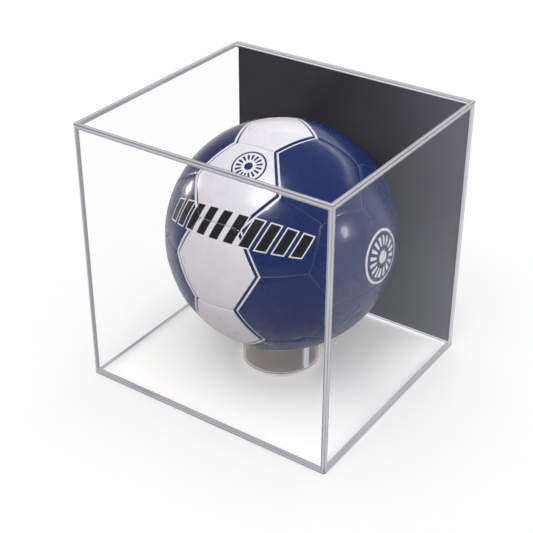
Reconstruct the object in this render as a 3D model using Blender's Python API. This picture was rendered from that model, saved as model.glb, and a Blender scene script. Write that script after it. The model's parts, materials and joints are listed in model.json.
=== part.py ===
"""Display case for one football: a clear base sheet with a ring stand, a lift-off cover and the ball.

The cover is four clear sheets and one black rear sheet, cemented edge to edge. It drops over the
base sheet and is held by its weight alone. The ball is the classic 32-panel one: 12 pentagons and
20 hexagons round a bladder, with a band of white panels and the rest navy. It rests on the ring.

Metres, +Z up, +X to the right along the clear front face, +Y towards the black rear sheet.
The origin is on the ground under the middle of the case. Needs Blender 4.5.
"""

import math

import bmesh
import bpy
from mathutils import Matrix, Vector

# The ball, and the room that the case leaves round it
BALL_RADIUS = 0.110
SIDE_ROOM = 0.0200
FRONT_ROOM = 0.0158
REAR_ROOM = 0.0018
TOP_ROOM = 0.0140

# The sheets
CLEAR_SHEET = 0.0032
BLACK_SHEET = 0.0032
BASE_SHEET = 0.0032
CORNER_ROUND = 0.0025
EDGE_POLISH = 0.0005
CEMENT_LINE = 0.0003
COVER_PLAY = 0.0006

# The ring stand
RING_RADIUS = 0.0400
RING_WALL = 0.0030
RING_HEIGHT = 0.0320
REST_GAP = 0.0003

# The ball's skin, bladder and valve
PANEL_THICKNESS = 0.0026
SEAM_GAP = 0.00034
SEAM_ROUND = 0.0036
SEAM_DROP = 0.0012
BLADDER_PLAY = 0.0008
BLADDER_WALL = 0.0009
VALVE_RADIUS = 0.0040
VALVE_FIT = 0.0003
VALVE_RECESS = 0.0004
VALVE_TAIL = 0.0080
VALVE_TAIL_RADIUS = 0.0028
NEEDLE_RADIUS = 0.0009
NEEDLE_DEPTH = 0.0070

# How the ball is turned in the case: the band of white panels leans, rolls and heads by these
BAND_LEAN_DEGREES = -29.6
BAND_ROLL_DEGREES = -2.8
BAND_HEADING_DEGREES = -0.5

# How finely round forms are cut
ROUND_STEPS = 60
BLADDER_STEPS = 24
VALVE_STEPS = 20
CORNER_STEPS = 3
PANEL_CUTS = 3
PANEL_RING_SHARES = (0.45, 0.78)
LINING_RING_SHARE = 0.6
SEAM_FALL_SHARES = (0.0, 0.6, 1.0)

GOLDEN = (1 + math.sqrt(5)) / 2

# Sizes that follow from the ones above
INNER_WIDTH = 2 * (BALL_RADIUS + SIDE_ROOM)
INNER_DEPTH = 2 * BALL_RADIUS + FRONT_ROOM + REAR_ROOM
CASE_WIDTH = INNER_WIDTH + 2 * CLEAR_SHEET
CASE_DEPTH = INNER_DEPTH + CLEAR_SHEET + BLACK_SHEET
INNER_FRONT = CLEAR_SHEET - CASE_DEPTH / 2
BALL_Y = INNER_FRONT + FRONT_ROOM + BALL_RADIUS
RING_BOTTOM = BASE_SHEET + REST_GAP
RING_TOP = RING_BOTTOM + RING_HEIGHT
RING_BORE = RING_RADIUS - RING_WALL
SEAT_RADIUS = RING_BORE + EDGE_POLISH
BALL_Z = RING_TOP + math.sqrt((BALL_RADIUS + REST_GAP) ** 2 - SEAT_RADIUS ** 2)
CASE_HEIGHT = BALL_Z + BALL_RADIUS + TOP_ROOM + CLEAR_SHEET
WALL_HEIGHT = CASE_HEIGHT - CLEAR_SHEET - CEMENT_LINE


def clear_scene():
    """Remove every object that the file holds."""
    for thing in list(bpy.data.objects):
        bpy.data.objects.remove(thing)


def finish(name, colour, roughness, see_through=0.0):
    """A Principled material; see_through lowers its alpha, for the clear sheets."""
    material = bpy.data.materials.new(name)
    material.use_nodes = True
    shader = material.node_tree.nodes["Principled BSDF"]
    shader.inputs["Base Color"].default_value = (*colour, 1.0)
    shader.inputs["Roughness"].default_value = roughness
    shader.inputs["Metallic"].default_value = 0.0
    shader.inputs["Alpha"].default_value = 1.0 - see_through
    return material


def place(name, mesh, material, parent):
    """Put a mesh into the scene as one named piece under its body's empty."""
    mesh.shade_smooth()
    mesh.set_sharp_from_angle(angle=math.radians(35))
    piece = bpy.data.objects.new(name, mesh)
    bpy.context.scene.collection.objects.link(piece)
    piece.parent = parent
    if not mesh.materials:
        mesh.materials.append(material)
    return piece


def body_empty(name, location):
    """The empty that a body's pieces hang on, placed on the axis that the body moves along."""
    empty = bpy.data.objects.new(name, None)
    empty.location = location
    bpy.context.scene.collection.objects.link(empty)
    return empty


def to_mesh(name, form):
    """Turn a bmesh into mesh data with its faces pointing out."""
    bmesh.ops.recalc_face_normals(form, faces=form.faces)
    mesh = bpy.data.meshes.new(name)
    form.to_mesh(mesh)
    form.free()
    return mesh


def upright_edges(form, places):
    """The vertical edges of a box at the given corners, each given as signs of x and y."""
    found = []
    for edge in form.edges:
        middle = (edge.verts[0].co + edge.verts[1].co) / 2
        upright = abs(edge.verts[0].co.z - edge.verts[1].co.z) > abs(middle.z)
        corner = (math.copysign(1, middle.x), math.copysign(1, middle.y))
        if upright and corner in places:
            found.append(edge)
    return found


def sheet(name, low, high, material, parent, rounded=()):
    """A flat sheet between two opposite corners, with some upright edges rounded.

    All its other edges have the small flame-polished round of cut acrylic, from a Bevel modifier.
    """
    low = Vector(low)
    high = Vector(high)
    form = bmesh.new()
    bmesh.ops.create_cube(form, size=1.0)
    bmesh.ops.scale(form, vec=high - low, verts=form.verts)
    if rounded:
        bmesh.ops.bevel(form, geom=upright_edges(form, rounded), offset=CORNER_ROUND,
                        segments=CORNER_STEPS, profile=0.5, affect="EDGES")
    piece = place(name, to_mesh(name, form), material, parent)
    piece.location = (low + high) / 2 - parent.location
    polish = piece.modifiers.new("polish", "BEVEL")
    polish.width = EDGE_POLISH
    polish.segments = 1
    polish.limit_method = "ANGLE"
    polish.angle_limit = math.radians(50)
    return piece


def turned(name, outline, steps):
    """A mesh turned about Z from a closed outline of (radius, height) points.

    A point of radius zero becomes one pole.
    """
    form = bmesh.new()
    rings = []
    for radius, height in outline:
        if radius == 0:
            rings.append([form.verts.new((0, 0, height))])
            continue
        ring = []
        for step in range(steps):
            angle = math.tau * step / steps
            ring.append(form.verts.new((radius * math.cos(angle), radius * math.sin(angle), height)))
        rings.append(ring)
    for ring, after in zip(rings, rings[1:] + rings[:1]):
        if len(ring) > 1 or len(after) > 1:
            join_rings(form, ring, after)
    return to_mesh(name, form)


def join_rings(form, ring, after):
    """Faces between two closed rings of points, either of which may be a single point."""
    count = max(len(ring), len(after))
    for k in range(count):
        ahead = (k + 1) % count
        if len(ring) == 1:
            form.faces.new((ring[0], after[ahead], after[k]))
        elif len(after) == 1:
            form.faces.new((ring[k], ring[ahead], after[0]))
        else:
            form.faces.new((ring[k], ring[ahead], after[ahead], after[k]))


def arc(radius, start, end, steps):
    """Points (radius, height) on a circle about the origin, at angles measured from +Z."""
    points = []
    for step in range(steps + 1):
        angle = start + (end - start) * step / steps
        points.append((radius * math.sin(angle), radius * math.cos(angle)))
    return points


def make_base(clear, parent):
    """The base sheet: it lies inside the cover's four walls, with play all round."""
    half_width = INNER_WIDTH / 2 - COVER_PLAY
    rear = INNER_FRONT + INNER_DEPTH - COVER_PLAY
    front = INNER_FRONT + COVER_PLAY
    sheet("base_sheet", (-half_width, front, 0), (half_width, rear, BASE_SHEET), clear, parent)


def make_ring(clear, parent):
    """The ring stand: a slice of clear tube with polished rims, standing on the base sheet."""
    outer = RING_RADIUS
    inner = RING_BORE
    soft = EDGE_POLISH
    outline = [
        (outer - soft, 0), (outer, soft), (outer, RING_HEIGHT - soft), (outer - soft, RING_HEIGHT),
        (inner + soft, RING_HEIGHT), (inner, RING_HEIGHT - soft), (inner, soft), (inner + soft, 0),
    ]
    ring = place("ring_stand", turned("ring_stand", outline, ROUND_STEPS), clear, parent)
    ring.location = Vector((0, BALL_Y, RING_BOTTOM)) - parent.location


def make_cover(clear, black, parent):
    """The cover: side walls of full depth, front and rear sheets between them, and the top."""
    half_width = CASE_WIDTH / 2
    half_depth = CASE_DEPTH / 2
    wall_side = INNER_WIDTH / 2
    between = wall_side - CEMENT_LINE
    rear_face = half_depth - BLACK_SHEET
    sheet("left_sheet", (-half_width, -half_depth, 0), (-wall_side, half_depth, WALL_HEIGHT),
          clear, parent, rounded=((-1, -1), (-1, 1)))
    sheet("right_sheet", (wall_side, -half_depth, 0), (half_width, half_depth, WALL_HEIGHT),
          clear, parent, rounded=((1, -1), (1, 1)))
    sheet("front_sheet", (-between, -half_depth, 0), (between, INNER_FRONT, WALL_HEIGHT), clear, parent)
    sheet("black_rear_sheet", (-between, rear_face, 0), (between, half_depth, WALL_HEIGHT), black, parent)
    sheet("top_sheet", (-half_width, -half_depth, CASE_HEIGHT - CLEAR_SHEET),
          (half_width, half_depth, CASE_HEIGHT), clear, parent,
          rounded=((-1, -1), (-1, 1), (1, -1), (1, 1)))


def pentagon_middles():
    """Directions of the 12 pentagons: (0, 1, golden) with every sign, and its cyclic turns."""
    points = []
    for one in (1, -1):
        for long in (GOLDEN, -GOLDEN):
            points += [Vector((0, one, long)), Vector((one, long, 0)), Vector((long, 0, one))]
    return [point.normalized() for point in points]


def are_neighbours(a, b):
    """Whether two pentagons face each other across one seam between hexagons."""
    return math.isclose(a.dot(b), 1 / math.sqrt(5), abs_tol=0.01)


def seam_corner(a, b):
    """The panel corner a third of the way from one pentagon's middle to its neighbour's."""
    return a.lerp(b, 1 / 3).normalized()


def panel_places():
    """Each panel's side count, middle direction and the direction of one of its corners."""
    pentagons = pentagon_middles()
    places = []
    for a in pentagons:
        neighbour = next(b for b in pentagons if are_neighbours(a, b))
        places.append((5, a, seam_corner(a, neighbour)))
    for i, a in enumerate(pentagons):
        for j, b in enumerate(pentagons[:i]):
            for c in pentagons[:j]:
                if are_neighbours(a, b) and are_neighbours(b, c) and are_neighbours(a, c):
                    places.append((6, (a + b + c).normalized(), seam_corner(a, b)))
    return places


def panel_border(sides, corner_angle):
    """The panel's border, flattened on the plane that touches the unit ball at its middle.

    Straight from the ball's centre, a great circle is a straight line there. The border is drawn
    in by half a seam gap.
    """
    share = math.cos(math.pi / sides)
    apothem_angle = math.atan(math.tan(corner_angle) * share) - math.asin(SEAM_GAP / 2 / BALL_RADIUS)
    reach = math.tan(apothem_angle) / share
    corners = [Vector((reach * math.cos(math.tau * k / sides), reach * math.sin(math.tau * k / sides)))
               for k in range(sides)]
    border = []
    for corner, after in zip(corners, corners[1:] + corners[:1]):
        border += [corner.lerp(after, cut / PANEL_CUTS) for cut in range(PANEL_CUTS)]
    return border, math.tan(apothem_angle)


def add_ring(form, flat_points, radius):
    """A ring of points on a ball of the given radius, seen through the flattened plane."""
    return [form.verts.new(Vector((point.x, point.y, 1)).normalized() * radius) for point in flat_points]


def panel_mesh(name, sides, corner_angle, hole_radius=0.0):
    """A sewn panel: a domed tile whose edges fall away to the seam, with straight seam walls.

    A panel with a hole has it in its middle, for the valve.
    """
    form = bmesh.new()
    border, apothem = panel_border(sides, corner_angle)
    inner_radius = BALL_RADIUS - PANEL_THICKNESS
    fall = SEAM_ROUND / BALL_RADIUS / apothem
    steps = [(share, BALL_RADIUS) for share in PANEL_RING_SHARES]
    for share in SEAM_FALL_SHARES:
        drop = SEAM_DROP * (1 - math.sqrt(1 - share ** 2))
        steps.append((1 - fall * (1 - share), BALL_RADIUS - drop))
    steps += [(1.0, inner_radius), (LINING_RING_SHARE, inner_radius)]
    rings = [add_ring(form, [point * share for point in border], radius) for share, radius in steps]
    if hole_radius:
        flat_hole = math.tan(math.asin(hole_radius / BALL_RADIUS))
        circle = [point.normalized() * flat_hole for point in border]
        rings = [add_ring(form, circle, BALL_RADIUS)] + rings + [add_ring(form, circle, inner_radius)]
        rings.append(rings[0])
    else:
        outer_pole = form.verts.new((0, 0, BALL_RADIUS))
        inner_pole = form.verts.new((0, 0, inner_radius))
        rings = [[outer_pole]] + rings + [[inner_pole]]
    for ring, after in zip(rings, rings[1:]):
        join_rings(form, ring, after)
    return to_mesh(name, form)


def facing(middle, corner):
    """The turn that takes +Z to a panel's middle and +X towards one of its corners."""
    side = middle.cross(corner).normalized()
    along = side.cross(middle)
    return Matrix((along, side, middle)).transposed()


def make_panels(white, navy, parent):
    """The 32 panels. Those whose middle lies on the great circle x = 0 make the white band."""
    places = panel_places()
    angles = {sides: middle.angle(corner) for sides, middle, corner in places}
    names = {5: "pentagon", 6: "hexagon"}
    meshes = {}
    counts = {}
    for sides, middle, corner in places:
        tint = "white" if abs(middle.x) < 0.01 else "navy"
        kind = f"{tint}_{names[sides]}"
        counts[kind] = counts.get(kind, 0) + 1
        name = f"{kind}_{counts[kind]}"
        material = white if tint == "white" else navy
        if is_valve_place(middle):
            mesh = panel_mesh(name, sides, angles[sides], VALVE_RADIUS + VALVE_FIT)
        else:
            mesh = meshes.get(kind) or panel_mesh(kind, sides, angles[sides])
            meshes[kind] = mesh
        panel = place(name, mesh, material, parent)
        panel.rotation_euler = facing(middle, corner).to_euler()


def is_valve_place(middle):
    """Whether a panel holds the valve: the navy hexagon at the left of the band's rear side."""
    return (middle - valve_direction()).length < 0.01


def valve_direction():
    """The valve's direction in the ball's own frame, through a hexagon's middle."""
    return Vector((-1, 1, 1)).normalized()


def make_bladder(rubber, parent):
    """The bladder: a thin rubber ball, open where the valve's tail goes in."""
    outer = BALL_RADIUS - PANEL_THICKNESS - BLADDER_PLAY
    inner = outer - BLADDER_WALL
    mouth = VALVE_TAIL_RADIUS + VALVE_FIT
    steps = BLADDER_STEPS // 2
    outline = arc(outer, math.asin(mouth / outer), math.pi, steps)
    lining = arc(inner, math.asin(mouth / inner), math.pi, steps)
    outline[-1] = (0, -outer)
    lining[-1] = (0, -inner)
    outline = outline + lining[::-1]
    bladder = place("ball_bladder", turned("ball_bladder", outline, BLADDER_STEPS), rubber, parent)
    bladder.rotation_euler = valve_direction().to_track_quat("Z", "Y").to_euler()


def make_valve(rubber, parent):
    """The valve: a rubber head in its panel's hole, a tail into the bladder and a needle hole."""
    top = BALL_RADIUS - VALVE_RECESS
    shoulder = BALL_RADIUS - PANEL_THICKNESS - VALVE_FIT
    tail = top - VALVE_TAIL
    outline = [
        (0, tail), (VALVE_TAIL_RADIUS, tail), (VALVE_TAIL_RADIUS, shoulder), (VALVE_RADIUS, shoulder),
        (VALVE_RADIUS, top), (NEEDLE_RADIUS, top), (NEEDLE_RADIUS, top - NEEDLE_DEPTH),
        (0, top - NEEDLE_DEPTH),
    ]
    valve = place("ball_valve", turned("ball_valve", outline, VALVE_STEPS), rubber, parent)
    valve.rotation_euler = valve_direction().to_track_quat("Z", "Y").to_euler()


def build():
    """The whole case, with one empty for each of its three bodies."""
    clear_scene()
    clear = finish("clear_acrylic", (0.86, 0.87, 0.90), 0.04, see_through=0.75)
    black = finish("black_acrylic", (0.020, 0.020, 0.022), 0.12)
    white = finish("white_panel", (0.78, 0.78, 0.83), 0.32)
    navy = finish("navy_panel", (0.024, 0.034, 0.130), 0.30)
    rubber = finish("rubber", (0.015, 0.015, 0.016), 0.6)
    base = body_empty("base_frame", (0, 0, 0))
    cover = body_empty("cover_frame", (0, 0, 0))
    ball = body_empty("ball_frame", (0, BALL_Y, BALL_Z))
    turn = (BAND_LEAN_DEGREES, BAND_ROLL_DEGREES, BAND_HEADING_DEGREES)
    ball.rotation_euler = [math.radians(degrees) for degrees in turn]
    make_base(clear, base)
    make_ring(clear, base)
    make_cover(clear, black, cover)
    make_panels(white, navy, ball)
    make_bladder(rubber, ball)
    make_valve(rubber, ball)


build()
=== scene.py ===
import itertools
import json
import math

import bpy
import numpy as np
from mathutils import Euler, Matrix, Vector


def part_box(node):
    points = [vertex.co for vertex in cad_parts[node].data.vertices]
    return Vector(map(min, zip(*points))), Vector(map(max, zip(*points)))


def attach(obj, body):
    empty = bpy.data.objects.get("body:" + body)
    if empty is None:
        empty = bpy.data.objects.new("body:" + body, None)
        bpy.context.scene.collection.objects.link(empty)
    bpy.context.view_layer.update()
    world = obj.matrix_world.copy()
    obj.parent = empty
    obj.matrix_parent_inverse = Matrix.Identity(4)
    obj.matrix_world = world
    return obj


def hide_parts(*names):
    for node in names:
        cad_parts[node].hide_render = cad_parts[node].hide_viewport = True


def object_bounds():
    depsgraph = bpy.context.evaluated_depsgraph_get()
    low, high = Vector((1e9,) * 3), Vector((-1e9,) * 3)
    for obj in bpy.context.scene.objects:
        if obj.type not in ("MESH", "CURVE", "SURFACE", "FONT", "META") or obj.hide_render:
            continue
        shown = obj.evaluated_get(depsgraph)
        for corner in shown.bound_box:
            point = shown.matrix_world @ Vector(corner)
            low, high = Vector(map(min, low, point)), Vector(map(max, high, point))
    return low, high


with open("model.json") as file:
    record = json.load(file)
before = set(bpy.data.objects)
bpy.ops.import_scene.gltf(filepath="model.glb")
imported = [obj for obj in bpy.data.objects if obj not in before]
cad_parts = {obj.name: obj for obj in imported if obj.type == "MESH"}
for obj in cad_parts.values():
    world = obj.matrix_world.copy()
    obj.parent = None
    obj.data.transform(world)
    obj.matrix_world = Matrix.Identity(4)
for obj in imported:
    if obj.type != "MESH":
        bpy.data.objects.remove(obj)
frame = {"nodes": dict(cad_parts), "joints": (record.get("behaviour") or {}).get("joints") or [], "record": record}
cad_low, cad_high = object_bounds()


# The table top that the case stands on: a broad sheet of white board with a slight sheen. Close to
# the case it is lit and takes the shadows; further out the camera sees it fade into plain white.
TABLE_HALF = 4.0
TABLE_DROP = 0.0003
TABLE_WHITE = (0.98, 0.98, 0.985)
# Painted light: under the case the camera sees the board brighter than it is lit, most at the rear.
TABLE_UNDER_PAINTED_LIGHT = (1.25, 1.24, 1.22)
TABLE_UNDER_REAR_PAINTED_LIGHT = (1.77, 1.75, 1.72)
TABLE_BOUNCE = (0.40, 0.35, 0.32)
# Painted light: shares of plain white that lift the shadows beside the case, more at the left.
TABLE_LIFT = 0.35
TABLE_LIFT_LEFT = 0.75
TABLE_SHEEN = 0.30
TABLE_GRAIN = 900.0
BESIDE_RAMP = (-0.008, 0.012)
REAR_RAMP = (0.06, 0.12)
LEFT_RAMP = (0.16, 0.06)
FADE_START = 0.14
FADE_END = 0.36


class Wire:
    """A socket of a node tree. Sums, products and comparisons of wires add Math nodes."""

    def __init__(self, tree, socket=None):
        self.tree = tree
        self.socket = socket

    def node(self, kind, settings=None, sockets=None, output=0):
        """Add a node: its settings first, then the values or links of its sockets.

        The output is a name or a number, or None for a list of them all. Stops are a ramp's.
        """
        made = self.tree.nodes.new("ShaderNode" + kind)
        settings = dict(settings or {})
        for count, (share, colour) in enumerate(settings.pop("stops", ())):
            elements = made.color_ramp.elements
            element = elements[count] if count < 2 else elements.new(share)
            element.position = share
            element.color = (*colour, 1.0)
        for name, value in settings.items():
            setattr(made, name, value)
        for name, value in (sockets or {}).items():
            socket = made.inputs[name]
            if isinstance(value, Wire):
                self.tree.links.new(value.socket, socket)
            elif socket.type == "RGBA":
                socket.default_value = (*value, 1.0)
            else:
                socket.default_value = value
        if output is None:
            return [Wire(self.tree, socket) for socket in made.outputs]
        return Wire(self.tree, made.outputs[output] if made.outputs else None)

    def maths(self, operation, first, second):
        return self.node("Math", {"operation": operation}, {0: first, 1: second})

    def __add__(self, other):
        return self.maths("ADD", self, other)

    def __sub__(self, other):
        return self.maths("SUBTRACT", self, other)

    def __mul__(self, other):
        return self.maths("MULTIPLY", self, other)

    def __truediv__(self, other):
        return self.maths("DIVIDE", self, other)

    def __pow__(self, other):
        return self.maths("POWER", self, other)

    def __mod__(self, other):
        return self.maths("FLOORED_MODULO", self, other)

    def __rsub__(self, other):
        return self.maths("SUBTRACT", other, self)

    def __neg__(self):
        return self.maths("SUBTRACT", 0.0, self)

    def __abs__(self):
        return self.maths("ABSOLUTE", self, 0.0)

    __radd__ = __add__
    __rmul__ = __mul__


def least(first, second):
    """The lower of two values."""
    return first.maths("MINIMUM", first, second)


def most(first, second):
    """The higher of two values."""
    return first.maths("MAXIMUM", first, second)


def rise(value, edge, width):
    """0 below the edge and 1 above it, with a straight ramp of the given width across it."""
    low, high = edge - width / 2, edge + width / 2
    return value.node("MapRange", {}, {"Value": value, "From Min": low, "From Max": high})


def stripe(value, middle, width, soft):
    """1 in a stripe of values round the middle and 0 beside it, with soft borders."""
    return rise(value, middle - width / 2, soft) * (1 - rise(value, middle + width / 2, soft))


def tint(share, low, high):
    """The colour low where share is 0 and high where it is 1."""
    return share.node("Mix", {"data_type": "RGBA"}, {0: share, 6: low, 7: high}, output=2)


def speckle(place, scale, detail=2.0, stretch=(1.0, 1.0, 1.0)):
    """Soft random values round 0.5, with the given number of grains in a metre."""
    grain = place.node("Mapping", {}, {"Vector": place, "Scale": stretch})
    return grain.node("TexNoise", {}, {"Vector": grain, "Scale": scale, "Detail": detail})


def finish(name, surface_of):
    """A material whose surface is the shader that surface_of makes from a bare wire."""
    material = bpy.data.materials.new(name)
    material.use_nodes = True
    material.node_tree.nodes.clear()
    start = Wire(material.node_tree)
    start.node("OutputMaterial", {}, {"Surface": surface_of(start)})
    return material


def table_surface(start):
    """White board that throws a warmer, weaker light back up. Under the case the camera sees painted light,
    brighter most at the rear; beside it painted white lifts the shadows, and further away plain white."""
    place = start.node("TexCoord", output="Object")
    x, y, z = place.node("SeparateXYZ", {}, {0: place}, output=None)
    beside = rise(most(abs(x) - cad_high[0], abs(y) - cad_high[1]), *BESIDE_RAMP)
    away = place.node("VectorMath", {"operation": "LENGTH"}, {0: place}, output="Value")
    path = start.node("LightPath", output=None)
    seen, scattered = path[0], path[2]
    grain = speckle(place, TABLE_GRAIN)
    under = tint(rise(y, *REAR_RAMP), TABLE_UNDER_PAINTED_LIGHT, TABLE_UNDER_REAR_PAINTED_LIGHT)
    colour = tint(seen * (1 - beside), TABLE_WHITE, under)
    board = start.node("BsdfPrincipled", {}, {
        "Base Color": tint(scattered, colour, TABLE_BOUNCE),
        "Roughness": TABLE_SHEEN + 0.08 * grain,
        "Specular IOR Level": 0.25,
    })
    white = start.node("Emission", {}, {"Color": (1.0, 1.0, 1.0), "Strength": 1.0})
    faded = rise(away, (FADE_START + FADE_END) / 2, FADE_END - FADE_START)
    lift = beside * (TABLE_LIFT + (TABLE_LIFT_LEFT - TABLE_LIFT) * rise(-x, *LEFT_RAMP))
    plain = seen * (lift + (1 - lift) * faded)
    return start.node("MixShader", {}, {0: plain, 1: board, 2: white})


table_mesh = bpy.data.meshes.new("table_top")
table_corners = np.array([(-1, -1, 0), (1, -1, 0), (1, 1, 0), (-1, 1, 0)]) * TABLE_HALF
table_mesh.from_pydata((table_corners - (0, 0, TABLE_DROP)).tolist(), [], [(0, 1, 2, 3)])
table_mesh.materials.append(finish("table_board", table_surface))
table_top = bpy.data.objects.new("table_top", table_mesh)
bpy.context.scene.collection.objects.link(table_top)


# The base: one sheet of clear acrylic, laser cut to lie inside the cover's walls. Its faces stay as
# clear as glass, and its flame-polished edge shows as a pale line of painted light.
POLISH = 0.0005
SQUARE_CORNER = 0.0007
ARC_STEPS = 8
FACE_MIRROR = (0.88, 0.94, 1.0)
EDGE_BODY = (0.10, 0.10, 0.11)
# Painted highlight: the plain white that some edges show.
EDGE_PAINTED_WHITE = (0.84, 0.84, 0.86)
EDGE_COVERS = 0.97
END_SOFT = 0.0003
WAVER = 0.30
WAVER_ACROSS = 1.4
WAVER_ALONG = 14.0
SMUDGES = 22.0
# Painted light and shade: the emitted lines of the base's edge.
BASE_PAINTED_LINES = ((0.0, (0.42, 0.42, 0.44)), (0.5, (0.56, 0.56, 0.58)), (1.0, (0.46, 0.46, 0.48)))
BASE_VEIL = 0.10
BASE_ZONE = 0.0012


def rounded_outline(low, high, rounds, inset=0.0):
    """A rectangle's outline, counterclockwise, whose four corners are quarter circles.

    Each corner is its circle's middle plus its radius, less the inset, in every direction of its
    quarter. One point more just past each end keeps the straight stretches flat.
    """
    rounds = np.asarray(rounds)[:, None]
    turn = np.linspace(0, math.pi / 2, ARC_STEPS + 1)
    angle = np.concatenate([turn[:1], turn, turn[-1:]]) + math.pi / 2 * np.arange(4)[:, None]
    slide = np.zeros(ARC_STEPS + 3)
    slide[0], slide[-1] = -POLISH / 4, POLISH / 4
    across = np.array([1, -1, -1, 1])[:, None]
    along = np.array([1, 1, -1, -1])[:, None]
    middle_x = np.where(across > 0, high[0] - rounds, low[0] + rounds)
    middle_y = np.where(along > 0, high[1] - rounds, low[1] + rounds)
    x = middle_x + (rounds - inset) * np.cos(angle) - slide * np.sin(angle)
    y = middle_y + (rounds - inset) * np.sin(angle) + slide * np.cos(angle)
    return np.stack([x.ravel(), y.ravel()], axis=-1)


def sheet_grid(low, high, rounds):
    """Rings of points up a sheet's outside: its outline in plan, drawn in at both ends by the
    quarter circle of the polished edge, with one ring more on each flat face."""
    turn = np.linspace(0, math.pi / 2, ARC_STEPS)
    inset = np.concatenate([[1.3 * POLISH], POLISH * (1 - np.sin(turn)), [0.0]])
    lift = np.concatenate([[0.0], POLISH * (1 - np.cos(turn)), [1.3 * POLISH]])
    inset = np.concatenate([inset, inset[::-1]])
    height = np.concatenate([low[2] + lift, high[2] - lift[::-1]])
    outlines = [rounded_outline(low, high, rounds, drawn_in) for drawn_in in inset]
    return np.stack([np.column_stack([outline, np.full(len(outline), level)])
                     for outline, level in zip(outlines, height)])


def skin(name, grid, poles=None):
    """A closed piece over rings of points, each ring joined to the next.

    With two poles the first and last rings close on them, and without, the last joins the first.
    """
    rows, around = grid.shape[:2]
    here = np.arange(rows * around).reshape(rows, around)
    beside = np.roll(here, -1, axis=1)
    above, above_beside = np.roll(here, -1, axis=0), np.roll(beside, -1, axis=0)
    quads = np.stack([here, beside, above_beside, above], axis=-1)
    if poles is None:
        points, faces = grid.reshape(-1, 3), quads.reshape(-1, 4).tolist()
    else:
        points = np.vstack([grid.reshape(-1, 3), poles])
        first = np.stack([beside[0], here[0], np.full(around, len(points) - 2)], axis=-1)
        last = np.stack([here[-1], beside[-1], np.full(around, len(points) - 1)], axis=-1)
        faces = quads[:-1].reshape(-1, 4).tolist() + first.tolist() + last.tolist()
    mesh = bpy.data.meshes.new(name)
    mesh.from_pydata(points.tolist(), [], faces)
    mesh.shade_smooth()
    piece = bpy.data.objects.new(name, mesh)
    bpy.context.scene.collection.objects.link(piece)
    return piece


def sheet_piece(node, body, slot, material, low, high, rounds):
    """A sheet between two corners that stands for a CAD node, with its finish and body; the slot is not used."""
    centre = (np.array(low) + high) / 2
    poles = [(centre[0], centre[1], low[2]), (centre[0], centre[1], high[2])]
    piece = skin(node + "_polished", sheet_grid(low, high, rounds), poles)
    piece.data.materials.append(material)
    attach(piece, body)
    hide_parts(node)
    return piece


def from_edge(place, low, high):
    """How far a point on a box lies from the box's nearest edge: the middle one of its distances
    to the nearest face in x, in y and in z."""
    x, y, z = (half - abs(part - middle) for part, middle, half in zip(
        place.node("SeparateXYZ", {}, {0: place}, output=None),
        (np.array(low) + high) / 2, (np.array(high) - low) / 2))
    return most(least(x, y), least(most(x, y), z))


def clear_acrylic(name, low, high, zone, lines, foot_lines, veil, clear_at=None, painted_white_at=None):
    """Clear acrylic of the box from low to high. Within a zone along its edges it glows in fine lines
    of painted light and shade that run along the edge, standing in for what the polished edge bends
    and mirrors, with lines of their own at the foot, darker where they meet the table as painted shade.
    Elsewhere it only mirrors, more at a glancing angle.

    The veil, a number or a function of place, is how much it mirrors. The last two are functions
    of place: where the edge has nothing but white to gather and stays clear, and where it shows
    as plain white, a painted highlight.
    """
    def surface(start):
        place = start.node("TexCoord", output="Object")
        across = from_edge(place, low, high)
        x, y, z = place.node("SeparateXYZ", {}, {0: place}, output=None)
        run = place.node("CombineXYZ", {}, {0: across / zone * WAVER_ACROSS,
                                            1: (x + y + z) * WAVER_ALONG})
        waver = run.node("TexNoise", {}, {"Vector": run, "Scale": 1.0, "Detail": 2.0})
        share = across / zone + WAVER * (waver - 0.5)
        foot = 1 - rise(z, low[2] + 1.5 * zone, zone)
        # Painted light and shade: the edge's lines are emission.
        glow = tint(foot, *(share.node("ValToRGB", {"stops": stops}, {0: share})
                            for stops in (lines, foot_lines)))
        edge = 1 - rise(across, zone, zone / 8)
        if clear_at:
            edge = edge * (1 - clear_at(x, y, z))
        # Painted highlight: where the edge shows as plain white.
        if painted_white_at:
            glow = tint(painted_white_at(x, y, z), glow, EDGE_PAINTED_WHITE)
        glance = start.node("LayerWeight", {}, {"Blend": 0.5}, output="Facing")
        mirror = (veil(x, y, z) if callable(veil) else veil) * (0.04 + 0.96 * glance ** 5)
        smudge = speckle(place, SMUDGES)
        return start.node("BsdfPrincipled", {}, {
            "Base Color": tint(edge, FACE_MIRROR, EDGE_BODY),
            "Metallic": 1 - edge,
            "Roughness": 0.02 + 0.05 * smudge,
            "Specular IOR Level": 0.12,
            "Emission Color": tint(edge, (0.0, 0.0, 0.0), glow),
            "Emission Strength": 1.0,
            "Alpha": mirror + edge * (EDGE_COVERS - mirror),
        })
    return finish(name, surface)


base_low, base_high = (np.array(corner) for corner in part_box("base_sheet"))


def base_left(x, y, z):
    """The base's left edge, which stays clear."""
    return 1 - rise(x, base_low[0] + 2 * BASE_ZONE, END_SOFT)


def base_rear_painted_highlight(x, y, z):
    """The base's rear edge, painted white as a highlight against the black sheet."""
    return rise(y, base_high[1] - 1.5 * BASE_ZONE, END_SOFT)


base_clear = clear_acrylic("base_acrylic", base_low, base_high, BASE_ZONE, BASE_PAINTED_LINES, BASE_PAINTED_LINES,
                           BASE_VEIL, base_left, base_rear_painted_highlight)
sheet_piece("base_sheet", "base", "clear_acrylic", base_clear, base_low, base_high, [SQUARE_CORNER] * 4)


# The ring stand: a slice of clear acrylic tube, sawn and polished on both rims. It is open inside,
# stands on the base sheet and carries the ball on its upper rim.
RING_WALL = 0.0030
RING_STEPS = 144
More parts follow.
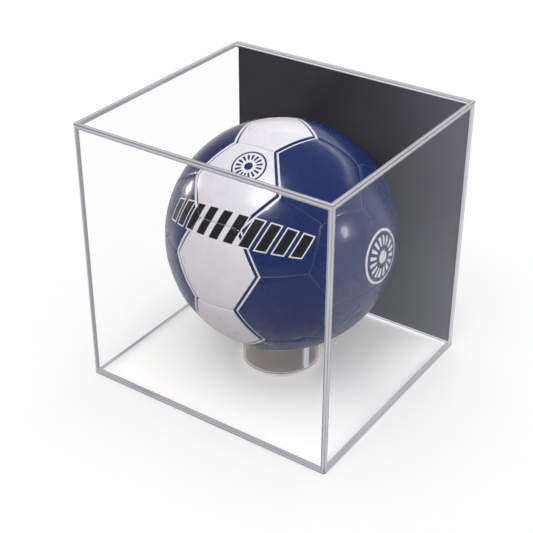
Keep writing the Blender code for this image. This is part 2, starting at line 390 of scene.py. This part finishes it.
# Painted light and shade: the ring's colours are emission for the dark the clear tube bends, its lit rims, shade
# lines and one highlight.
RING_PAINTED_REFRACTION = (0.150, 0.128, 0.119)
RING_PAINTED_REFRACTION_DARK = (0.078, 0.072, 0.074)
RING_RIM_PAINTED_LIGHT = (0.58, 0.58, 0.57)
RING_PAINTED_HIGHLIGHT = (0.46, 0.47, 0.54)
RING_COVERS = 0.46
RING_BANDS = 70.0
PAINTED_REFRACTION_RAMP = (-1.2, 1.2)
TURNED_AWAY = (0.80, 0.10, 0.08)
RIM_LINE = 0.0012
RIM_SOFT = 0.0003
RIM_PAINTED_SHADE = (0.030, 0.022, 0.019)
STREAK_DEGREES = -17.0
STREAK_WIDTH_DEGREES = 9.0

ring_low, ring_high = (np.array(corner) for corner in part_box("ring_stand"))
ring_middle = (ring_low + ring_high) / 2
ring_radius = (ring_high[1] - ring_low[1]) / 2


def turned_grid(outline, steps, middle):
    """Rings of points about an upright axis: each (radius, height) point of an outline, taken
    round by cosine and sine."""
    angle = np.linspace(0, math.tau, steps, endpoint=False)
    radius, height = outline[:, :1], outline[:, 1:]
    x = middle[0] + radius * np.cos(angle)
    y = middle[1] + radius * np.sin(angle)
    return np.stack([x, y, np.broadcast_to(height, x.shape)], axis=-1)


def ring_surface(start):
    """Tube wall, with the dark of what it bends painted in: faint upright bands, pale lines of painted light
    along both polished rims and where the wall turns away, a painted shade line by each rim, and one upright
    painted highlight."""
    place = start.node("TexCoord", output="Object")
    x, y, z = place.node("SeparateXYZ", {}, {0: place}, output=None)
    to_rim = least(z - ring_low[2], ring_high[2] - z)
    rim = 1 - rise(to_rim, RIM_LINE, RIM_SOFT)
    second_rim = stripe(to_rim, 2.4 * RIM_LINE, 0.8 * RIM_LINE, RIM_SOFT)
    shade = stripe(to_rim, 1.5 * RIM_LINE, RIM_LINE, RIM_SOFT)
    glance = start.node("LayerWeight", {}, {"Blend": 0.5}, output="Facing")
    turned = stripe(glance, *TURNED_AWAY)
    angle = x.maths("ARCTAN2", y - ring_middle[1], x - ring_middle[0])
    lit = math.radians(STREAK_WIDTH_DEGREES)
    # Painted highlight: one upright streak at a fixed angle round the tube.
    streak = stripe(angle, math.radians(STREAK_DEGREES), lit, lit / 6)
    bands = speckle(place, RING_BANDS, stretch=(1.0, 1.0, 0.05))
    # Painted refraction: the dark the tube bends, darker round one side.
    painted_refraction = tint(rise(angle, *PAINTED_REFRACTION_RAMP), RING_PAINTED_REFRACTION, RING_PAINTED_REFRACTION_DARK)
    glow = tint(0.5 * rise(bands, 0.5, 0.2), painted_refraction, RING_PAINTED_REFRACTION_DARK)
    # Painted shade: a dark line by each rim.
    glow = tint(shade, tint(streak, glow, RING_PAINTED_HIGHLIGHT), RIM_PAINTED_SHADE)
    # Painted light: pale lines along the rims and where the wall turns away.
    pale = most(most(rim, 0.5 * second_rim), 0.7 * turned)
    covers = most(RING_COVERS + 0.30 * glance ** 4, most(0.75 * streak, 0.9 * shade))
    return start.node("BsdfPrincipled", {}, {
        "Base Color": tint(bands, RING_PAINTED_REFRACTION_DARK, RING_PAINTED_REFRACTION),
        "Roughness": 0.04 + 0.06 * bands,
        "Specular IOR Level": 0.3,
        "Emission Color": tint(pale, glow, RING_RIM_PAINTED_LIGHT),
        "Emission Strength": 1.0,
        "Alpha": covers + pale * (0.85 - covers),
    })


ring_profile = rounded_outline((ring_radius - RING_WALL, ring_low[2]), (ring_radius, ring_high[2]),
                               [SQUARE_CORNER] * 4)
ring_stand = skin("ring_stand_polished", turned_grid(ring_profile, RING_STEPS, ring_middle))
ring_stand.data.materials.append(finish("ring_acrylic", ring_surface))
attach(ring_stand, "base")
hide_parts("ring_stand")


# The bladder: a thin blown rubber ball that holds the air. It is a CAD node and keeps its mesh, for
# it shows only as darkness down in the seams.
RUBBER = (0.012, 0.012, 0.013)
RUBBER_WORN = (0.035, 0.034, 0.034)
RUBBER_BLOOM = 180.0


def rubber_surface(start):
    """Matt black rubber with a bloom of grey on it."""
    place = start.node("TexCoord", output="Object")
    bloom = speckle(place, RUBBER_BLOOM, detail=4.0)
    bump = start.node("Bump", {}, {"Strength": 0.25, "Distance": 0.0003, "Height": bloom})
    return start.node("BsdfPrincipled", {}, {
        "Base Color": tint(bloom, RUBBER, RUBBER_WORN),
        "Roughness": 0.5 + 0.2 * bloom,
        "Normal": bump,
    })


rubber = finish("black_rubber", rubber_surface)
bladder = frame["nodes"]["ball_bladder"]
bladder.data.materials.clear()
bladder.data.materials.append(rubber)


# The valve: a moulded rubber plug with a raised lip round its needle hole, pushed into the bladder's
# mouth. Its head lies just under the skin in the middle of one navy hexagon.
BALL_RADIUS = 0.110
BALL_TURN_DEGREES = (-29.6, -2.8, -0.5)
VALVE_PLACE = (-1.0, 1.0, 1.0)
VALVE_RADIUS = 0.0040
VALVE_RECESS = 0.0004
VALVE_HEAD = 0.0025
VALVE_TAIL_RADIUS = 0.0028
VALVE_TAIL = 0.0080
VALVE_LIP = 0.0005
VALVE_PLAY = 0.0003
NEEDLE_RADIUS = 0.0009
NEEDLE_DEPTH = 0.0070
VALVE_STEPS = 48

turn_joint = next(joint for joint in frame["joints"] if joint["name"] == "ball_turn")
ball_centre = np.array(turn_joint["pos_m"])
ball_turn = np.array(Euler([math.radians(angle) for angle in BALL_TURN_DEGREES]).to_matrix())


def facing(middle, corner):
    """The turn, as three columns, that takes +Z to middle and +X towards corner."""
    side = np.cross(middle, corner)
    side = side / np.linalg.norm(side)
    return np.column_stack([np.cross(side, middle), side, middle])


def unit(vector):
    """The same direction, one long."""
    return np.asarray(vector) / np.linalg.norm(vector)


valve_top = BALL_RADIUS - VALVE_RECESS
lip_turn = np.linspace(math.pi / 2, -math.pi / 2, 9)
lip_radius = NEEDLE_RADIUS + VALVE_LIP * (1 + np.sin(lip_turn))
lip_height = valve_top - VALVE_LIP * (1 - np.cos(lip_turn))
valve_outline = np.array([
    (VALVE_TAIL_RADIUS - POLISH, valve_top - VALVE_TAIL),
    (VALVE_TAIL_RADIUS, valve_top - VALVE_TAIL + POLISH),
    (VALVE_TAIL_RADIUS, valve_top - VALVE_HEAD),
    (VALVE_RADIUS, valve_top - VALVE_HEAD),
    (VALVE_RADIUS, valve_top - VALVE_LIP - POLISH / 2),
    (VALVE_RADIUS - POLISH / 2, valve_top - VALVE_LIP),
    *zip(lip_radius, lip_height),
    (NEEDLE_RADIUS, valve_top - NEEDLE_DEPTH),
])
valve = skin("ball_valve_moulded", turned_grid(valve_outline, VALVE_STEPS, (0, 0, 0)),
             [(0, 0, valve_top - VALVE_TAIL), (0, 0, valve_top - NEEDLE_DEPTH)])
valve_facing = ball_turn @ facing(unit(VALVE_PLACE), unit((0, 1, 1)))
valve.data.transform(Matrix.Translation(ball_centre) @ Matrix(valve_facing.tolist()).to_4x4())
valve.data.materials.append(rubber)
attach(valve, "ball")
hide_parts("ball_valve")


# The ball's skin: twelve pentagons and twenty hexagons of coated synthetic leather, cut flat, printed
# and sewn edge to edge from inside, so that each domes up and falls away to its puckered seams.
PANEL_THICKNESS = 0.0026
SEAM_GAP = 0.00012
SEAM_ROUND = 0.0030
SEAM_DROP = 0.0010
PILLOW_WIDTH = 0.014
PILLOW_DROP = 0.00035
STITCH_PITCH = 0.0023
STITCH_DEPTH = 0.00016
STITCH_REACH = 0.0016
POINTS_TO_A_STITCH = 4
RING_DEPTHS = (0.0, 0.00006, 0.0002, 0.0004, 0.0007, 0.0011, 0.0015, 0.0020, 0.0026, 0.0032, 0.0038,
               0.0046, 0.0058, 0.0074, 0.0094, 0.0120, 0.0150, 0.0185, 0.0225, 0.0270)
LINING_SHARE = 0.6
GOLDEN = (1 + math.sqrt(5)) / 2

PANEL_WHITE = (0.79, 0.775, 0.835)
PANEL_NAVY = (0.008, 0.023, 0.12)
# Painted shade and highlight: the stitch dots down in the seams, grey on white panels, light on navy ones.
STITCH_SHADE_ON_WHITE = (0.42, 0.42, 0.46)
STITCH_HIGHLIGHT_ON_NAVY = (0.15, 0.19, 0.36)
CHARCOAL = (0.012, 0.013, 0.016)
NAVY_STRIPE = 0.0027
WHITE_LINE = 0.0021

BAND_POLE = (-0.027, 0.454, 0.891)
BAND_MIDDLE = (0.223, -0.846, 0.484)
BARS_MIDDLE = (-0.017, 0.0045)
BARS_HALF_LENGTH = 0.076
BARS_HALF_HEIGHT = 0.0135
BAR_PITCH = 0.0152
BAR_WIDTH = 0.0092
BAR_SLANT = 0.34
BAR_OUTLINE = 0.0012
BAR_END_LOSS = 0.30
ROUNDELS = (((0.02, -0.51, 0.86), 0.0165), ((0.985, 0.0, 0.105), 0.0260))
ROUNDEL_RAYS = 16
ROUNDEL_RIM = 0.90
ROUNDEL_WREATH = (0.42, 0.76)
ROUNDEL_HUB = 0.24
ROUNDEL_SOFT = 0.02
PRINT_SOFT = 0.0003
TRIM_SOFT = 0.00035
STITCH_MARK_DEPTH = (0.0006, 0.0004)
STITCH_MARK_OFF_TRIM = (0.004, 0.001)
LEATHER_SHADES = (0.94, 1.06)
LEATHER_MOTTLE = 45.0
LEATHER_GRAIN = 620.0
LEATHER_SCUFFS = 260.0

pentagons = [unit(np.roll((0, one, long), turn))
             for one in (1, -1) for long in (GOLDEN, -GOLDEN) for turn in range(3)]
neighbours = [trio for trio in itertools.combinations(pentagons, 3)
              if all(abs(a @ b - 1 / math.sqrt(5)) < 0.01 for a, b in itertools.combinations(trio, 2))]
hexagons = [unit(sum(trio)) for trio in neighbours]
near = [next(b for b in pentagons if abs(a @ b - 1 / math.sqrt(5)) < 0.01) for a in pentagons]
panels = [(5, a, unit(2 * a + b)) for a, b in zip(pentagons, near)]
panels += [(6, middle, unit(2 * trio[0] + trio[1])) for middle, trio in zip(hexagons, neighbours)]
panel_middles = np.array([middle for sides, middle, corner in panels])


def is_white(middle):
    """The white band is the panels whose middle lies on the ball's own great circle x = 0."""
    return abs(middle[0]) < 0.01


def over_the_sides(sides, corner_angle):
    """Directions about +Z that lie as far beyond the middle of each side as it lies from +Z."""
    turn = (np.arange(sides) + 0.5) * math.tau / sides
    away = 2 * math.atan(math.tan(corner_angle) * math.cos(math.pi / sides))
    x, y = math.sin(away) * np.cos(turn), math.sin(away) * np.sin(turn)
    return np.stack([x, y, np.full(sides, math.cos(away))])


def border_points(sides, reach, cuts):
    """A regular polygon's corners at the given reach, with each side cut into equal steps."""
    corner = reach * np.exp(2j * math.pi * np.arange(sides) / sides)
    along = np.arange(cuts) / cuts
    border = (corner[:, None] * (1 - along) + np.roll(corner, -1)[:, None] * along).ravel()
    return np.stack([border.real, border.imag], axis=-1)


def panel_drop(depth, wave):
    """How far the skin lies under the ball's full radius at a depth in from the seam.

    It is a quarter ellipse over the seam's round, a shallow pillow over a wider band, and a
    dimple at each stitch that fades inwards.
    """
    inside = np.clip(1 - depth / SEAM_ROUND, 0, 1)
    pillow = np.clip(1 - depth / PILLOW_WIDTH, 0, 1) ** 2
    dimple = STITCH_DEPTH * (0.5 + 0.5 * wave) * np.exp(-(depth / STITCH_REACH) ** 2)
    return (SEAM_DROP - PILLOW_DROP) * (1 - np.sqrt(1 - inside ** 2)) + PILLOW_DROP * pillow + dimple


def panel_arrays(sides, corner_angle, differs, hole=0.0):
    """A panel's points about +Z, and for each one its depth in from the seam, its depth in from
    the nearest seam to another colour, and its place in a stitch.

    The border is straight on the plane that touches the unit ball at the panel's middle. Rings
    are that border drawn in by each depth, and a ring point goes out along its own direction to
    the ball's radius less the drop. They run from the lining up the seam wall and in over the top.
    """
    slope = math.cos(math.pi / sides)
    apothem_angle = math.atan(math.tan(corner_angle) * slope) - math.asin(SEAM_GAP / 2 / BALL_RADIUS)
    apothem = math.tan(apothem_angle)
    side_length = 2 * BALL_RADIUS * apothem * math.tan(math.pi / sides)
    stitches = round(side_length / STITCH_PITCH)
    cuts = stitches * POINTS_TO_A_STITCH
    border = border_points(sides, apothem / slope, cuts)
    wave = np.tile(np.cos(math.tau * stitches * np.arange(cuts) / cuts), sides)
    depth = np.array([d for d in RING_DEPTHS if d < 0.9 * apothem * BALL_RADIUS])
    share = 1 - depth / (apothem * BALL_RADIUS)
    radius = BALL_RADIUS - panel_drop(depth[:, None], wave)
    flat = share[:, None, None] * border
    if hole:
        rim = border / np.linalg.norm(border, axis=1, keepdims=True) * hole / BALL_RADIUS
        flat, radius = np.vstack([flat, [rim]]), np.vstack([radius, radius[-1:]])
        depth = np.append(depth, depth[-1])
    inner = BALL_RADIUS - PANEL_THICKNESS
    below = [rim] if hole else []
    below += [LINING_SHARE * border, border]
    flat = np.vstack([below, flat])
    radius = np.vstack([np.full((len(below), len(border)), inner), radius])
    seam = np.append(np.zeros(len(below)), depth)
    ray = np.concatenate([flat, np.ones(flat.shape[:2] + (1,))], axis=-1)
    grid = ray / np.linalg.norm(ray, axis=-1, keepdims=True) * radius[..., None]
    outward = (np.arange(sides)[differs] + 0.5) * math.tau / sides
    normals = np.stack([np.cos(outward), np.sin(outward)])
    trim = BALL_RADIUS * (apothem - flat @ normals).min(axis=-1, initial=1.0)
    return grid, np.stack(np.broadcast_arrays(seam[:, None], trim, wave))


def set_points(mesh, name, values):
    """Store one number for each point of a mesh."""
    attribute = mesh.attributes.new(name, "FLOAT", "POINT")
    attribute.data.foreach_set("value", np.ascontiguousarray(values, dtype=np.float32))


def band_map(mesh, middle):
    """A map in metres along and across the printed band: longitude and latitude about its pole,
    each times the ball's radius. Longitude is kept whole across the panel."""
    points = np.empty(len(mesh.vertices) * 3, dtype=np.float32)
    mesh.vertices.foreach_get("co", points)
    rays = points.reshape(-1, 3) - ball_centre
    rays = rays / np.linalg.norm(rays, axis=1, keepdims=True)
    pole = unit(BAND_POLE)
    front = unit(np.array(BAND_MIDDLE) - pole * (pole @ BAND_MIDDLE))
    side = np.cross(pole, front)
    own = math.atan2(middle @ side, middle @ front)
    along = np.arctan2(rays @ side, rays @ front) - own
    along = own + (along + math.pi) % math.tau - math.pi
    across = np.arcsin(np.clip(rays @ pole, -1, 1))
    corners = np.empty(len(mesh.loops), dtype=np.int32)
    mesh.loops.foreach_get("vertex_index", corners)
    flat = np.stack([along, across], axis=-1)[corners] * BALL_RADIUS
    mesh.uv_layers.new(name="band").data.foreach_set("uv", flat.ravel())


def bars(start):
    """A row of slanted bars that get shorter towards the row's ends, and their outline."""
    band = start.node("UVMap", {"uv_map": "band"})
    u, v, _ = band.node("SeparateXYZ", {}, {0: band}, output=None)
    v = v - BARS_MIDDLE[1]
    leaning = u - BARS_MIDDLE[0] - BAR_SLANT * v
    in_bar = BAR_WIDTH / 2 - abs((leaning % BAR_PITCH) - BAR_PITCH / 2)
    ends = (leaning / BARS_HALF_LENGTH) ** 2
    height = BARS_HALF_HEIGHT * (1 - BAR_END_LOSS * ends)
    inside = least(least(in_bar, height - abs(v)), BARS_HALF_LENGTH - abs(leaning))
    return rise(inside, 0.0, PRINT_SOFT), rise(inside, -BAR_OUTLINE, PRINT_SOFT)


def roundel(place, direction, radius):
    """A round printed badge: a rim line, and rays round a plain middle."""
    towards = unit(direction)
    centre = ball_centre + BALL_RADIUS * towards
    turn = facing(towards, (0, 0, 1))
    spoke = place.node("VectorMath", {"operation": "SUBTRACT"}, {0: place, 1: tuple(centre)})
    across, along = (spoke.node("VectorMath", {"operation": "DOT_PRODUCT"}, {0: spoke, 1: tuple(axis)},
                                output="Value") for axis in turn.T[:2])
    away = spoke.node("VectorMath", {"operation": "LENGTH"}, {0: spoke}, output="Value") / radius
    angle = across.maths("ARCTAN2", along, across)
    rays = rise(angle.maths("SINE", angle * ROUNDEL_RAYS, 0.0), 0.0, 0.3)
    rim = rise(away, ROUNDEL_RIM, ROUNDEL_SOFT) * (1 - rise(away, 1.0, ROUNDEL_SOFT))
    within, beyond = (rise(away, edge, ROUNDEL_SOFT) for edge in ROUNDEL_WREATH)
    hub = 1 - rise(away, ROUNDEL_HUB, ROUNDEL_SOFT)
    return most(rim, most(within * (1 - beyond) * rays, hub))


def panel_surface(ground, other, trim_width, painted_stitch_light):
    """Coated leather: a printed trim along the seams to the other colour, bars and badges, with a
    fine grain, faint scuffs, and dots at the stitches down in the seam: painted shade on white, painted highlights
    on navy."""
    def surface(start):
        place = start.node("TexCoord", output="Object")
        seam, trim, wave = (start.node("Attribute", {"attribute_name": name}, output="Fac")
                            for name in ("seam", "trim", "wave"))
        mottle = speckle(place, LEATHER_MOTTLE, detail=3.0)
        grain = speckle(place, LEATHER_GRAIN)
        low, high = (tuple(share * part for part in ground) for share in LEATHER_SHADES)
        colour = tint(mottle, low, high)
        badges = [roundel(place, direction, radius) for direction, radius in ROUNDELS]
        colour = tint(most(*badges), colour, other)
        colour = tint(1 - rise(trim, trim_width, TRIM_SOFT), colour, other)
        bar, rim = bars(start)
        colour = tint(rim, colour, PANEL_WHITE)
        colour = tint(bar, colour, CHARCOAL)
        # Painted light and shade: dots at the stitches down in the seam, away from the trim.
        in_seam = (1 - rise(seam, *STITCH_MARK_DEPTH)) * rise(trim, *STITCH_MARK_OFF_TRIM)
        colour = tint(0.8 * in_seam * rise(wave, 0.2, 0.8), colour, painted_stitch_light)
        scuffs = rise(speckle(place, LEATHER_SCUFFS, detail=5.0), 0.64, 0.08)
        bump = start.node("Bump", {}, {"Strength": 0.06, "Distance": 0.0002, "Height": grain})
        return start.node("BsdfPrincipled", {}, {
            "Base Color": colour,
            "Roughness": 0.24 + 0.08 * mottle + 0.08 * scuffs,
            "Specular IOR Level": 0.25,
            "Coat Weight": 0.15,
            "Coat Roughness": 0.07,
            "Normal": bump,
        })
    return surface


white_finish = finish("white_leather",
                      panel_surface(PANEL_WHITE, PANEL_NAVY, NAVY_STRIPE, STITCH_SHADE_ON_WHITE))
navy_finish = finish("navy_leather",
                     panel_surface(PANEL_NAVY, PANEL_WHITE, WHITE_LINE, STITCH_HIGHLIGHT_ON_NAVY))

for node in frame["record"]["behaviour"]["bodies"]["ball"]:
    if "gon_" not in node:
        continue
    low, high = (np.array(corner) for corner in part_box(node))
    towards = unit((low + high) / 2 - ball_centre) @ ball_turn
    sides, middle, corner = panels[int(np.argmax(panel_middles @ towards))]
    turn = facing(middle, corner)
    corner_angle = math.acos(middle @ corner)
    beyond = turn @ over_the_sides(sides, corner_angle)
    differs = is_white(panel_middles[np.argmax(panel_middles @ beyond, axis=0)].T) != is_white(middle)
    hole = VALVE_RADIUS + VALVE_PLAY if middle @ unit(VALVE_PLACE) > 0.999 else 0.0
    grid, marks = panel_arrays(sides, corner_angle, differs, hole)
    grid = grid @ (ball_turn @ turn).T + ball_centre
    outer = ball_centre + BALL_RADIUS * (ball_turn @ middle)
    inner = ball_centre + (BALL_RADIUS - PANEL_THICKNESS) * (ball_turn @ middle)
    panel = skin(node + "_sewn", grid, None if hole else [inner, outer])
    for name, values in zip(("seam", "trim", "wave"), marks):
        at_poles = [] if hole else [values[-1].max()] * 2
        set_points(panel.data, name, np.append(values.ravel(), at_poles))
    band_map(panel.data, ball_turn @ middle)
    panel.data.materials.append(white_finish if is_white(middle) else navy_finish)
    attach(panel, "ball")
    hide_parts(node)
    "white_panel" if is_white(middle) else "navy_panel"


# The cover's clear sheets: four pieces of cast acrylic, cemented edge to edge into a box that drops
# over the base. The side sheets run the full depth and the top lies on all four walls.
COVER_CORNER = 0.0025
COVER_ZONE = 0.0041
# Painted light and shade: the emitted lines of the cover's edges.
COVER_PAINTED_LINES = ((0.0, (0.10, 0.10, 0.11)), (0.15, (0.14, 0.14, 0.155)), (0.30, (0.46, 0.46, 0.49)),
               (0.62, (0.43, 0.43, 0.46)), (0.78, (0.21, 0.21, 0.225)), (1.0, (0.27, 0.27, 0.285)))
# Painted light and shade at the foot, darkest where the edge meets the table.
FOOT_PAINTED_LINES = ((0.0, (0.06, 0.06, 0.07)), (0.18, (0.09, 0.09, 0.10)), (0.30, (0.32, 0.32, 0.345)),
              (0.76, (0.38, 0.38, 0.405)), (0.94, (0.16, 0.16, 0.175)))
LEFT_VEIL = 0.16
RIGHT_VEIL = 0.33
VEIL_LOSS = 0.45
VEIL_RAMP = (0.225, 0.09)
TOP_HIGHLIGHT_WIDTH = 0.0017
JOINT_SOFT = 0.0002

cover_boxes = {node: [np.array(corner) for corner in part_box(node)]
               for node in ("front_sheet", "left_sheet", "right_sheet", "top_sheet", "black_rear_sheet")}
cover_low = np.min([low for low, high in cover_boxes.values()], axis=0)
cover_high = np.max([high for low, high in cover_boxes.values()], axis=0)


def top_painted_highlight(x, y, z):
    """The line underneath the top sheet, along the front of the rear sheet, painted white as a highlight."""
    on_rear = stripe(y, cover_boxes["black_rear_sheet"][0][1] + TOP_HIGHLIGHT_WIDTH / 2, TOP_HIGHLIGHT_WIDTH, JOINT_SOFT)
    return on_rear * (1 - rise(z, cover_boxes["top_sheet"][0][2] + POLISH, JOINT_SOFT))


def left_ends(x, y, z):
    """The left sheet's rear end below the top sheet and the outside of its foot, which stay clear."""
    behind = rise(y, cover_high[1] - 1.3 * COVER_ZONE, END_SOFT)
    behind = behind * (1 - rise(z, cover_high[2] - 1.5 * COVER_ZONE, END_SOFT))
    outside = 1 - rise(x, cover_low[0] + POLISH, JOINT_SOFT)
    return most(behind, outside * (1 - rise(z, cover_low[2] + 1.2 * COVER_ZONE, END_SOFT)))


def right_end_painted_highlight(x, y, z):
    """The right sheet's rear end, where it lies on the rear sheet, painted a third of the way to white as a
    highlight.
    """
    return 0.33 * rise(y, cover_high[1] - COVER_ZONE, END_SOFT)


def right_veil(x, y, z):
    """The right sheet mirrors the bright table, and less of it towards its upper rear corner."""
    return RIGHT_VEIL * (1 - VEIL_LOSS * rise(y + z, *VEIL_RAMP))


full, tight = COVER_CORNER, SQUARE_CORNER
for node, rounds, veil, clear_at, painted_white_at in (
        ("front_sheet", (tight, tight, tight, tight), 0.0, None, None),
        ("left_sheet", (tight, full, full, tight), LEFT_VEIL, left_ends, None),
        ("right_sheet", (full, tight, tight, full), right_veil, None, right_end_painted_highlight),
        ("top_sheet", (full, full, full, full), 0.0, None, top_painted_highlight)):
    clear = clear_acrylic(node + "_acrylic", cover_low, cover_high, COVER_ZONE, COVER_PAINTED_LINES, FOOT_PAINTED_LINES,
                          veil, clear_at, painted_white_at)
    sheet_piece(node, "cover", "clear_acrylic", clear, *cover_boxes[node], rounds)


# The cover's rear sheet: the one black piece, cast acrylic of the same thickness, cemented between
# the side sheets. It is polished, with a painted sheen that greys it towards the right.
REAR_BLACK = (0.029, 0.0275, 0.031)
# Painted sheen: the grey the sheet takes on towards the right.
REAR_PAINTED_SHEEN = (0.175, 0.173, 0.195)
# Painted highlight: the white along the sheet's top end.
REAR_TOP_PAINTED_HIGHLIGHT = (0.78, 0.78, 0.80)
REAR_HIGHLIGHT_DEPTH = 0.0005
PAINTED_SHEEN_RAMP = (0.03, 0.20)
WIPING_MARKS = 120.0

rear_top = cover_boxes["black_rear_sheet"][1][2]


def rear_surface(start):
    """Polished black sheet: a soft painted sheen that grows to the right, fine upright wiping marks, and a
    painted highlight in white along its top end."""
    place = start.node("TexCoord", output="Object")
    x, y, z = place.node("SeparateXYZ", {}, {0: place}, output=None)
    # Painted sheen, growing to the right.
    painted_sheen = rise(x, *PAINTED_SHEEN_RAMP) ** 2
    wiping = speckle(place, WIPING_MARKS, stretch=(1.0, 1.0, 0.10))
    sheet = tint(painted_sheen + 0.02 * wiping, REAR_BLACK, REAR_PAINTED_SHEEN)
    return start.node("BsdfPrincipled", {}, {
        "Base Color": tint(rise(z, rear_top - REAR_HIGHLIGHT_DEPTH, JOINT_SOFT), sheet, REAR_TOP_PAINTED_HIGHLIGHT),
        "Roughness": 0.30,
        "Specular IOR Level": 0.22,
    })


rear_finish = finish("black_acrylic_sheet", rear_surface)
sheet_piece("black_rear_sheet", "cover", "black_acrylic", rear_finish, *cover_boxes["black_rear_sheet"],
            (tight, tight, tight, tight))


# The studio: a white room, one broad soft lamp above in front, and three small panes that light
# nothing and whose reflections stand on the ball.
SIDE_LIGHT = 0.50
OVERHEAD_LIGHT = 0.53
RIGHT_LIGHT = 0.55
ROOM_MIRRORED = 0.45
REAR_MIRRORED = 1.30
STRIP_MIRRORED = 4.6
LEFT_MIRRORED = (0.74, 0.60, 0.48)
BEHIND_RAMP = (0.60, 0.30)
WALL_TOP_RAMP = (0.42, 0.10)
STRIP_HEIGHT = (0.52, 0.09, 0.04)
LEFT_WALL_RAMP = (0.45, 0.50)
# Each lamp's name, azimuth, elevation, distance, size, watts, colour, and whether mirrors show it.
LAMPS = (
    ("key", 0, 52, 1.9, (1.1, 1.1), 8.2, (1.0, 1.0, 1.0), False),
    ("pane_above", -1, 62, 1.4, (0.09, 0.46), 26.0, (1.0, 1.0, 1.0), True),
    ("pane_left", -90, 9, 1.2, (0.10, 0.16), 3.6, (1.0, 0.90, 0.80), True),
    ("pane_right", 98, 17, 1.2, (0.13, 0.22), 3.0, (1.0, 1.0, 1.0), True),
)


def room(start):
    """White to the camera, and a soft light on the rest, stronger from overhead and the right.
    Mirrors see a dimmer room, brown at the left, with a bright wall behind the case and a strip
    of light that stands just over the black sheet."""
    path = start.node("LightPath", output=None)
    camera_ray, mirrored = path[0], most(path[3], path[6])
    towards = start.node("TexCoord", output="Generated")
    x, y, z = towards.node("SeparateXYZ", {}, {0: towards}, output=None)
    rearward = rise(y, *BEHIND_RAMP)
    behind = rearward * (1 - rise(z, *WALL_TOP_RAMP))
    light = SIDE_LIGHT + OVERHEAD_LIGHT * z * z + RIGHT_LIGHT * most(x, 0.0 * x)
    strip = rearward * stripe(z, *STRIP_HEIGHT)
    in_mirrors = ROOM_MIRRORED + (REAR_MIRRORED - ROOM_MIRRORED) * behind + STRIP_MIRRORED * strip
    strength = light + (in_mirrors - light) * mirrored + (1 - light) * camera_ray
    colour = tint(mirrored * rise(-x, *LEFT_WALL_RAMP), (1.0, 1.0, 1.0), LEFT_MIRRORED)
    return start.node("Background", {}, {"Color": colour, "Strength": strength})


world = bpy.data.worlds.new("white_room")
bpy.context.scene.world = world
world.use_nodes = True
world.node_tree.nodes.clear()
room_start = Wire(world.node_tree)
room_start.node("OutputWorld", {}, {"Surface": room(room_start)})

for name, azimuth, elevation, distance, size, watts, colour, mirrored in LAMPS:
    lamp = bpy.data.lights.new(name, "AREA")
    lamp.shape = "RECTANGLE"
    lamp.size, lamp.size_y = size
    lamp.energy = watts
    lamp.color = colour
    a, e = math.radians(azimuth), math.radians(elevation)
    towards = Vector((math.sin(a) * math.cos(e), -math.cos(a) * math.cos(e), math.sin(e)))
    lamp_object = bpy.data.objects.new(name, lamp)
    lamp_object.location = Vector(ball_centre) + towards * distance
    lamp_object.rotation_euler = towards.to_track_quat("Z", "Y").to_euler()
    lamp_object.visible_glossy = mirrored
    lamp_object.visible_diffuse = not mirrored
    lamp_object.visible_camera = False
    bpy.context.scene.collection.objects.link(lamp_object)


# The camera: a long lens that looks down on the front and right of the case.
CAMERA_PLACE = (0.5477, -0.8095, 0.7003)
CAMERA_AZIMUTH_DEGREES = 34.693
CAMERA_ELEVATION_DEGREES = 31.284
CAMERA_LENS = 80.98

camera = bpy.data.objects.new("camera", bpy.data.cameras.new("camera"))
camera.data.lens = CAMERA_LENS
camera.data.clip_start = 0.05
camera.location = CAMERA_PLACE
camera.rotation_euler = (math.radians(90 - CAMERA_ELEVATION_DEGREES), 0,
                         math.radians(CAMERA_AZIMUTH_DEGREES))
bpy.context.scene.collection.objects.link(camera)
bpy.context.scene.camera = camera
bpy.context.scene.view_settings.view_transform = "Standard"
bpy.context.scene.cycles.transparent_max_bounces = 32
